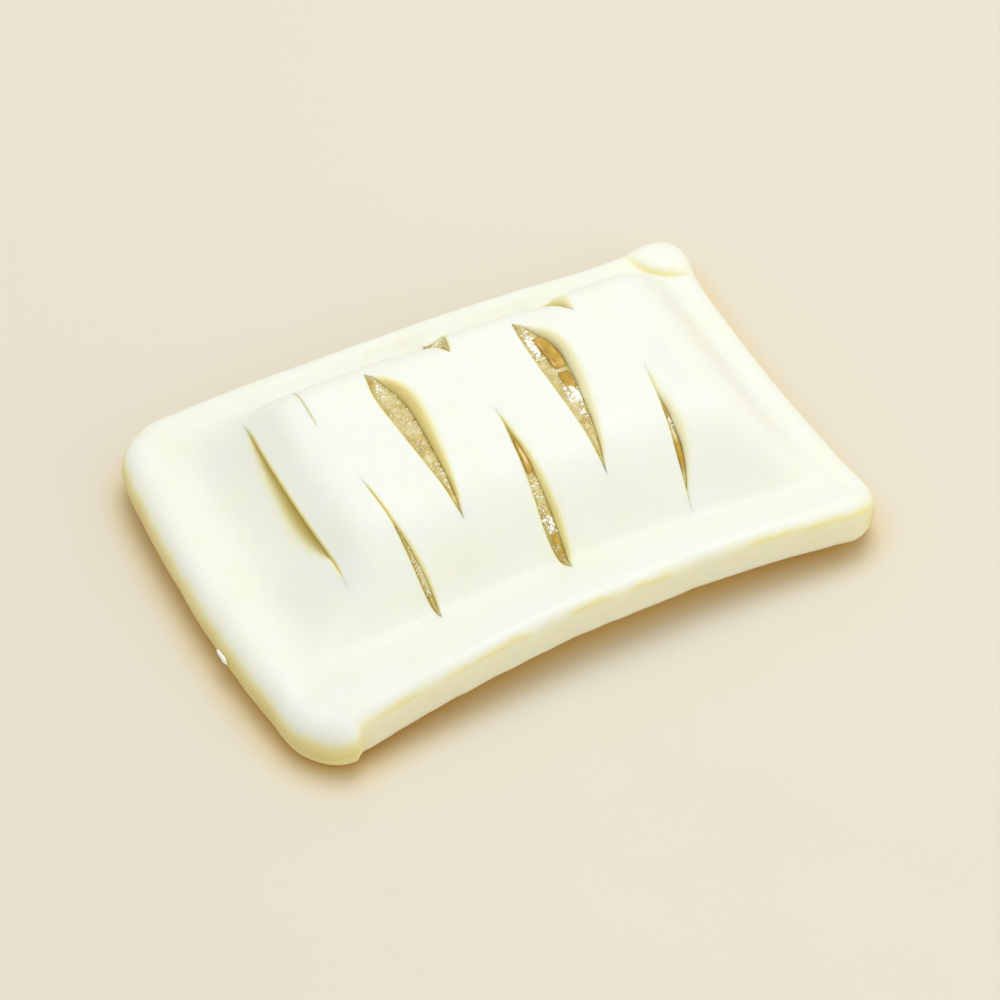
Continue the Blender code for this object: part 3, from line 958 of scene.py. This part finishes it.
half_x = (FILLING_HIGH[0] - FILLING_LOW[0]) / 2.0
half_y = (FILLING_HIGH[1] - FILLING_LOW[1]) / 2.0
gel = bmesh.new()
along = math.ceil(2.0 * half_x / FILLING_STEP)
across = math.ceil(2.0 * half_y / FILLING_STEP)
bmesh.ops.create_grid(gel, x_segments=along, y_segments=across, size=1.0)
made = bmesh.ops.extrude_face_region(gel, geom=list(gel.faces), use_keep_orig=True)
lower = {g for g in made["geom"] if isinstance(g, bmesh.types.BMVert)}
for vert in gel.verts:
    x, y = filling_spot(vert.co.x * half_x, vert.co.y * half_y)
    floor_z = base_top(x, y) + SEAM
    plan_x, plan_y = plan_point(x, y)
    height = floor_z if vert in lower else filling_top(plan_x, plan_y, floor_z)
    vert.co = Vector((plan_x, plan_y, height))
bmesh.ops.recalc_face_normals(gel, faces=list(gel.faces))
print("the sheet of gel touches pastry in", len(BVHTree.FromBMesh(gel).overlap(pastry_tree)), "places")

# %% [markdown]
# In an opening nothing holds the gel down, so it has swollen up between the lips, to just below
# them. Each swelling is a plug that follows both lips at a hair's distance. It starts as a grid
# with rows from the near end of the opening to the far one, gets its lumps, and is extruded down
# into the sheet of gel.

# %% The gel in the openings
HAIR = 0.00003
LEAST_OPENING = 0.00012
PLUG_CELL = 0.00030
ROW_PARTS = 5
PLUG_FOOT = 0.0042
PLUG_DOME = 0.00030
LUMPS = ((0.00026, 0.0021), (0.00016, 0.0009), (0.00005, 0.0004))


def lip_point(cut, y, side):
    """The top edge of a lip of a cut."""
    x = cut.column * PITCH
    push, lift = cut_shift(cuts, x, y, side)
    plan_x, plan_y = plan_point(x + push, y)
    return Vector((plan_x, plan_y, lid_top(x, y) + lift - lip_fall(cuts, x, y, side)))


def opening_rows(cut):
    """Where the cut is open, in small steps: its left lip, its right lip, and a place under them."""
    lips = []
    for y in rows:
        if cut.near <= y <= cut.far:
            left, right = lip_point(cut, y, -1), lip_point(cut, y, 1)
            floor_z = base_top(cut.column * PITCH, y) + SEAM + FILLING_LEAST / 2.0
            drop = min(PLUG_FOOT, left.z - floor_z, right.z - floor_z)
            slant = undercut(cuts, cut.column * PITCH, y) * drop / SHEET
            lips.append((left, right, Vector((slant, 0.0, -drop))))
    open_rows = []
    for here, there in zip(lips, lips[1:]):
        for part in range(ROW_PARTS):
            left, right, down = (a.lerp(b, part / ROW_PARTS) for a, b in zip(here, there))
            if right.x - left.x > LEAST_OPENING:
                open_rows.append((left, right, down))
    return open_rows


def between_lips(row, across):
    """A place from the left lip, 0, to the right one, 1, at a hair's distance from both."""
    left, right, _ = row
    inset = HAIR / (right.x - left.x)
    return left.lerp(right, inset + (1.0 - 2.0 * inset) * across)


def plug(cut):
    shape = opening_rows(cut)
    cells = math.ceil(max(right.x - left.x for left, right, _ in shape) / PLUG_CELL)
    bm = bmesh.new()
    bmesh.ops.create_grid(bm, x_segments=cells, y_segments=len(shape) - 1, size=1.0)
    made = bmesh.ops.extrude_face_region(bm, geom=list(bm.faces), use_keep_orig=True)
    foot = {g for g in made["geom"] if isinstance(g, bmesh.types.BMVert)}
    for vert in bm.verts:
        row = shape[round((vert.co.y + 1.0) / 2.0 * (len(shape) - 1))]
        spot = between_lips(row, (vert.co.x + 1.0) / 2.0)
        if vert in foot:
            spot += row[2]
        else:
            lumps = sum(depth * wave(spot.x, spot.y, size, seed=8.0) for depth, size in LUMPS)
            spot.z += (PLUG_DOME + lumps) * (1.0 - vert.co.x**2) - cut.gel
        vert.co = spot
    bmesh.ops.recalc_face_normals(bm, faces=list(bm.faces))
    return bm


def joined(bm, others):
    """One closed mesh from a mesh and several that reach into it."""
    holders = []
    for index, part in enumerate([bm, *others]):
        mesh = bpy.data.meshes.new(f"part_{index}")
        part.to_mesh(mesh)
        part.free()
        holder = bpy.data.objects.new(f"part_{index}", mesh)
        bpy.context.scene.collection.objects.link(holder)
        holders.append(holder)
    for holder in holders[1:]:
        union = holders[0].modifiers.new("union", "BOOLEAN")
        union.operation = "UNION"
        union.solver = "EXACT"
        union.object = holder
    evaluated = holders[0].evaluated_get(bpy.context.evaluated_depsgraph_get())
    result = bmesh.new()
    result.from_mesh(evaluated.to_mesh())
    for holder in holders:
        bpy.data.objects.remove(holder, do_unlink=True)
    return result


gel = joined(gel, [plug(cut) for cut in cuts if cut.gel])
gel_tree = BVHTree.FromBMesh(gel)
print("open edges in the gel:", sum(not e.is_manifold for e in gel.edges))
print("gel touches pastry in", len(gel_tree.overlap(pastry_tree)), "places")

# %% [markdown]
# ### Gel finish
# The gel is glossy and straw-coloured, paler where ice has clouded it. A coat on a softer
# base gives it wet highlights, and the grain breaks them up.

# %% Gel finish
GEL_STOPS = (
    (0.00, (0.470, 0.310, 0.060)),
    (0.45, (0.640, 0.500, 0.160)),
    (1.00, (0.780, 0.690, 0.340)),
)
gel_finish = start_finish("apple_gel_finish", patch_size=0.0020, grain_size=0.00035)
clouded = mapped(gel_finish, gel_finish.patches, 0.0, 0.7)
flecked = mapped(gel_finish, gel_finish.grain, 0.0, 0.3)
straw = ramp(gel_finish, added(gel_finish, clouded, flecked), GEL_STOPS)
wetness = mapped(gel_finish, gel_finish.grain, 0.18, 0.45)
gel_finish.tree.links.new(straw, gel_finish.shader.inputs["Base Color"])
gel_finish.tree.links.new(wetness, gel_finish.shader.inputs["Roughness"])
raise_surface(gel_finish, gel_finish.grain, strength=0.5, distance=0.00015)
gel_finish.shader.inputs["Subsurface Weight"].default_value = 0.4
gel_finish.shader.inputs["Subsurface Radius"].default_value = (1.0, 0.7, 0.25)
gel_finish.shader.inputs["Subsurface Scale"].default_value = 0.0015
gel_finish.shader.inputs["Coat Weight"].default_value = 0.6
gel_finish.shader.inputs["Coat Roughness"].default_value = 0.12
add_piece("apple_gel", gel, gel_finish.material, ("apple_filling",))

# %% [markdown]
# ## Diced apple
# A few pieces of apple break through the gel, in three of the openings. They are cubes whose
# corners boiling has rounded and whose sides have caved a little, so each starts as a cube, is
# subdivided and smoothed, and is then bent to lie between the two lips of its opening.

# %% Dice that show
Dice = namedtuple("Dice", "cut near far left right rise")
DICE = (
    Dice(cuts[2], 0.0078, 0.0142, 0.40, 0.95, 0.00060),
    Dice(cuts[2], 0.0036, 0.0072, 0.42, 0.94, 0.00045),
    Dice(cuts[4], -0.0068, -0.0010, 0.10, 0.92, 0.00055),
    Dice(cuts[4], -0.0166, -0.0136, 0.25, 0.88, 0.00040),
    Dice(cuts[5], -0.0072, -0.0046, 0.10, 0.90, 0.00045),
    Dice(cuts[5], -0.0136, -0.0098, 0.10, 0.90, 0.00045),
)
DICE_CUTS = 7
DICE_SMOOTHED = 4
DICE_DEPTH = 0.0026
DICE_UNEVEN = 0.00006
DICE_UNEVEN_SIZE = 0.0022


def opening_row_at(shape, plan_y):
    return min(shape, key=lambda row: abs((row[0].y + row[1].y) / 2.0 - plan_y))


def add_dice(bm, dice):
    made = bmesh.ops.create_cube(bm, size=2.0)
    edges = dict.fromkeys(e for v in made["verts"] for e in v.link_edges)
    bmesh.ops.subdivide_edges(bm, edges=list(edges), cuts=DICE_CUTS, use_grid_fill=True)
    verts = [v for v in bm.verts if not v.tag]
    for _ in range(DICE_SMOOTHED):
        bmesh.ops.smooth_vert(
            bm, verts=verts, factor=0.5, use_axis_x=True, use_axis_y=True, use_axis_z=True
        )
    shape = opening_rows(dice.cut)
    size = max(v.co.y for v in verts)
    for vert in verts:
        along = (1.0 + vert.co.y / size) / 2.0
        across = (1.0 + vert.co.x / size) / 2.0
        row = opening_row_at(shape, dice.near + (dice.far - dice.near) * along)
        spot = between_lips(row, dice.left + (dice.right - dice.left) * across)
        spot.y = dice.near + (dice.far - dice.near) * along
        spot.z += dice.rise - dice.cut.gel - DICE_DEPTH * (1.0 - vert.co.z / size) / 2.0
        vert.co = spot + DICE_UNEVEN * noise.noise_vector(spot / DICE_UNEVEN_SIZE)
        vert.tag = True


dice_mesh = bmesh.new()
for dice in DICE:
    add_dice(dice_mesh, dice)
bmesh.ops.recalc_face_normals(dice_mesh, faces=list(dice_mesh.faces))
dice_tree = BVHTree.FromBMesh(dice_mesh)
print("dice touch pastry in", len(dice_tree.overlap(pastry_tree)), "places")

# %% Apple finish
APPLE_STOPS = (
    (0.00, (0.400, 0.205, 0.004)),
    (0.55, (0.550, 0.320, 0.010)),
    (1.00, (0.660, 0.440, 0.070)),
)
apple = start_finish("amber_apple_finish", patch_size=0.0022, grain_size=0.0004)
apple.tree.links.new(ramp(apple, apple.patches, APPLE_STOPS), apple.shader.inputs["Base Color"])
apple.tree.links.new(mapped(apple, apple.grain, 0.16, 0.34), apple.shader.inputs["Roughness"])
raise_surface(apple, apple.grain, strength=0.25, distance=0.0001)
apple.shader.inputs["Subsurface Weight"].default_value = 0.4
apple.shader.inputs["Subsurface Radius"].default_value = (1.0, 0.6, 0.15)
apple.shader.inputs["Subsurface Scale"].default_value = 0.0015
apple.shader.inputs["Coat Weight"].default_value = 0.5
apple.shader.inputs["Coat Roughness"].default_value = 0.1
add_piece("apple_dice", dice_mesh, apple.material, ())

# %% [markdown]
# ## Frost
# Ice has grown on the gel wherever air reached it: a dusting of tiny crystals, thicker in a few
# clusters at the ends of the widest openings. Each crystal is a stubby cone with five sides,
# tipped at random and half sunk in the gel. Hundreds of them share one mesh, so each has only a
# few faces.

# %% Frost crystals
import random

Cluster = namedtuple("Cluster", "x y spread_x spread_y count size")
CLUSTERS = (
    Cluster(-0.0084, 0.0062, 0.0016, 0.0075, 420, 0.00007),
    Cluster(-0.0094, 0.0156, 0.0008, 0.0008, 28, 0.00015),
    Cluster(-0.0072, 0.0095, 0.0006, 0.0025, 50, 0.00011),
    Cluster(-0.0081, -0.0022, 0.0005, 0.0010, 70, 0.00017),
    Cluster(0.0126, 0.0132, 0.0003, 0.0016, 90, 0.00017),
    Cluster(0.0136, 0.0018, 0.0007, 0.0014, 110, 0.00017),
    Cluster(0.0134, 0.0010, 0.0008, 0.0055, 260, 0.00007),
    Cluster(0.0008, -0.0085, 0.0007, 0.0045, 330, 0.00008),
    Cluster(0.0003, -0.0078, 0.0004, 0.0009, 50, 0.00013),
    Cluster(0.0016, -0.0128, 0.0006, 0.0005, 40, 0.00018),
    Cluster(0.0226, -0.0065, 0.0003, 0.0035, 90, 0.00010),
    Cluster(0.0222, -0.0052, 0.0003, 0.0006, 30, 0.00015),
    Cluster(0.0020, 0.0222, 0.0014, 0.0016, 160, 0.00008),
    Cluster(-0.0180, -0.0125, 0.0004, 0.0030, 150, 0.00007),
)
CRYSTAL_SIDES = 5
CRYSTAL_SUNK = 0.3
CRYSTAL_CLEAR = 1.2
random.seed(11)
frost = bmesh.new()
for cluster in CLUSTERS:
    for _ in range(cluster.count):
        x = random.gauss(cluster.x, cluster.spread_x)
        y = random.gauss(cluster.y, cluster.spread_y)
        size = cluster.size * random.uniform(0.5, 1.6)
        narrowed = size * random.uniform(0.2, 0.7)
        depth = size * random.uniform(1.0, 2.6)
        turn = Matrix.Rotation(random.uniform(0.0, math.tau), 4, "Z")
        tip = Matrix.Rotation(random.uniform(0.0, 1.2), 4, "X")
        above = Vector((x, y, 0.03))
        hit, *_ = gel_tree.ray_cast(above, -UPWARD)
        covers = [tree.ray_cast(above, -UPWARD)[0] for tree in (pastry_tree, dice_tree)]
        if not hit or any(cover and cover.z > hit.z for cover in covers):
            continue
        spot = hit + UPWARD * size * CRYSTAL_SUNK
        *_, gap = pastry_tree.find_nearest(spot)
        if gap < CRYSTAL_CLEAR * size:
            continue
        bmesh.ops.create_cone(
            frost,
            cap_ends=True,
            segments=CRYSTAL_SIDES,
            radius1=size,
            radius2=narrowed,
            depth=depth,
            matrix=Matrix.Translation(spot) @ turn @ tip,
        )
print(len(frost.faces) // (CRYSTAL_SIDES + 2), "crystals")

# %% [markdown]
# One chip of ice has frozen to the left side of the rim. It lies flat on the dough, so the
# nearest point of the pastry and the direction that it faces say where the chip goes and how it
# is turned.

# %% A chip of ice on the rim
CHIP_SPOT = Vector((-0.0446, -0.0090, 0.0038))
CHIP_HALF = Vector((0.00140, 0.00055, 0.00022))
CHIP_CLEAR = 0.00008
CHIP_UNEVEN = 0.00016
CHIP_UNEVEN_SIZE = 0.0009
chip = bmesh.ops.create_icosphere(frost, subdivisions=3, radius=1.0)
stuck_to, outward, *_ = pastry_tree.find_nearest(CHIP_SPOT)
lying = outward.to_track_quat("Z", "Y").to_matrix()
for vert in chip["verts"]:
    flat = vert.co * CHIP_HALF
    uneven = CHIP_UNEVEN * noise.noise(flat / CHIP_UNEVEN_SIZE)
    raised = CHIP_HALF.z + CHIP_CLEAR
    vert.co = stuck_to + outward * raised + lying @ (flat + uneven * vert.co.normalized())
*_, gap = pastry_tree.find_nearest(min((v.co for v in chip["verts"]), key=lambda co: outward.dot(co)))
print("the chip lies off the dough by mm:", round(1000 * gap, 2))

# %% Frost finish, with a painted glow
FROST_STOPS = (
    (0.00, (0.900, 0.890, 0.830)),
    (1.00, (0.980, 0.980, 0.980)),
)
glowing_ice = start_finish("frost_painted_glow_finish", patch_size=0.0008, grain_size=0.0002)
glowing_ice.tree.links.new(ramp(glowing_ice, glowing_ice.patches, FROST_STOPS), glowing_ice.shader.inputs["Base Color"])
glowing_ice.tree.links.new(mapped(glowing_ice, glowing_ice.grain, 0.2, 0.5), glowing_ice.shader.inputs["Roughness"])
raise_surface(glowing_ice, glowing_ice.grain, strength=0.2, distance=0.00005)
# Painted light: the ice glows faintly, so that crystals lying in shade still read white.
glowing_ice.shader.inputs["Emission Color"].default_value = (1.0, 1.0, 0.96, 1.0)
glowing_ice.shader.inputs["Emission Strength"].default_value = 0.12
add_piece("frost", frost, glowing_ice.material, ())

# %% [markdown]
# ## The stage
# The pie stands on a pale surface whose colour turns warm brown close under and beside the pie:
# that brown is painted shade. The camera looks from the left front and from above, at the angle of
# the photograph, with a long lens so that the far side is hardly smaller.

# %% Floor and camera
floor_mesh = bmesh.new()
bmesh.ops.create_grid(floor_mesh, x_segments=1, y_segments=1, size=1.5)
floor_data = bpy.data.meshes.new("floor")
floor_mesh.to_mesh(floor_data)
floor_mesh.free()
# Painted shade: ambient occlusion takes the floor's colour from pale to warm brown near the pie.
FLOOR_PAINTED_SHADE_STOPS = (
    (0.00, (0.780, 0.360, 0.020)),
    (0.50, (0.780, 0.570, 0.200)),
    (0.85, (0.770, 0.705, 0.575)),
)
floor_with_painted_shade = start_finish("pale_floor_painted_shade_finish", patch_size=0.030, grain_size=0.002)
openness = add_node(floor_with_painted_shade.tree, "ShaderNodeAmbientOcclusion", samples=3)
openness.inputs["Distance"].default_value = 0.0052
shade = ramp(floor_with_painted_shade, openness.outputs["AO"], FLOOR_PAINTED_SHADE_STOPS)
satin = mapped(floor_with_painted_shade, floor_with_painted_shade.patches, 0.55, 0.65)
floor_with_painted_shade.tree.links.new(shade, floor_with_painted_shade.shader.inputs["Base Color"])
floor_with_painted_shade.tree.links.new(satin, floor_with_painted_shade.shader.inputs["Roughness"])
floor_data.materials.append(floor_with_painted_shade.material)
floor = bpy.data.objects.new("floor", floor_data)
bpy.context.scene.collection.objects.link(floor)

camera_data = bpy.data.cameras.new("camera")
camera_data.lens = 102.86
camera_data.sensor_width = 36.0
camera_data.clip_start = 0.01
camera = bpy.data.objects.new("camera", camera_data)
bpy.context.scene.collection.objects.link(camera)
camera.location = (-0.11940, -0.22815, 0.29362)
look_at = Vector((0.00141, 0.00126, 0.0))
camera.rotation_euler = (look_at - camera.location).to_track_quat("-Z", "Y").to_euler()
bpy.context.scene.camera = camera
print("camera is", round((look_at - camera.location).length, 3), "m from the pie")

# %% [markdown]
# The light is that of a bright room: one large soft source high behind the pie, a weak one low
# at the front right, and a bright surround that fills the shadows.

# %% Lights
def add_area(name, spot, size, energy):
    data = bpy.data.lights.new(name, "AREA")
    data.shape = "SQUARE"
    data.size = size
    data.energy = energy
    light = bpy.data.objects.new(name, data)
    bpy.context.scene.collection.objects.link(light)
    light.location = spot
    light.rotation_euler = (-Vector(spot)).to_track_quat("-Z", "Y").to_euler()
    return light


add_area("key", (0.12, 0.16, 0.60), 0.36, 1.58)
add_area("fill", (0.20, -0.34, 0.16), 0.30, 0.27)
world = bpy.data.worlds.new("bright_room")
bpy.context.scene.world = world
world.use_nodes = True
background = world.node_tree.nodes["Background"]
heading = add_node(world.node_tree, "ShaderNodeTexCoord")
split = add_node(world.node_tree, "ShaderNodeSeparateXYZ")
glow = add_node(world.node_tree, "ShaderNodeValToRGB")
world.node_tree.links.new(heading.outputs["Generated"], split.inputs["Vector"])
world.node_tree.links.new(split.outputs["Z"], glow.inputs["Fac"])
world.node_tree.links.new(glow.outputs["Color"], background.inputs["Color"])
glow.color_ramp.elements[0].color = (0.85, 0.55, 0.20, 1.0)
glow.color_ramp.elements[1].color = (0.97, 1.00, 1.00, 1.0)
glow.color_ramp.elements[1].position = 0.30
background.inputs["Strength"].default_value = 0.70
bpy.context.scene.view_settings.view_transform = "Standard"
print(len(bpy.data.lights), "lights and a bright room")
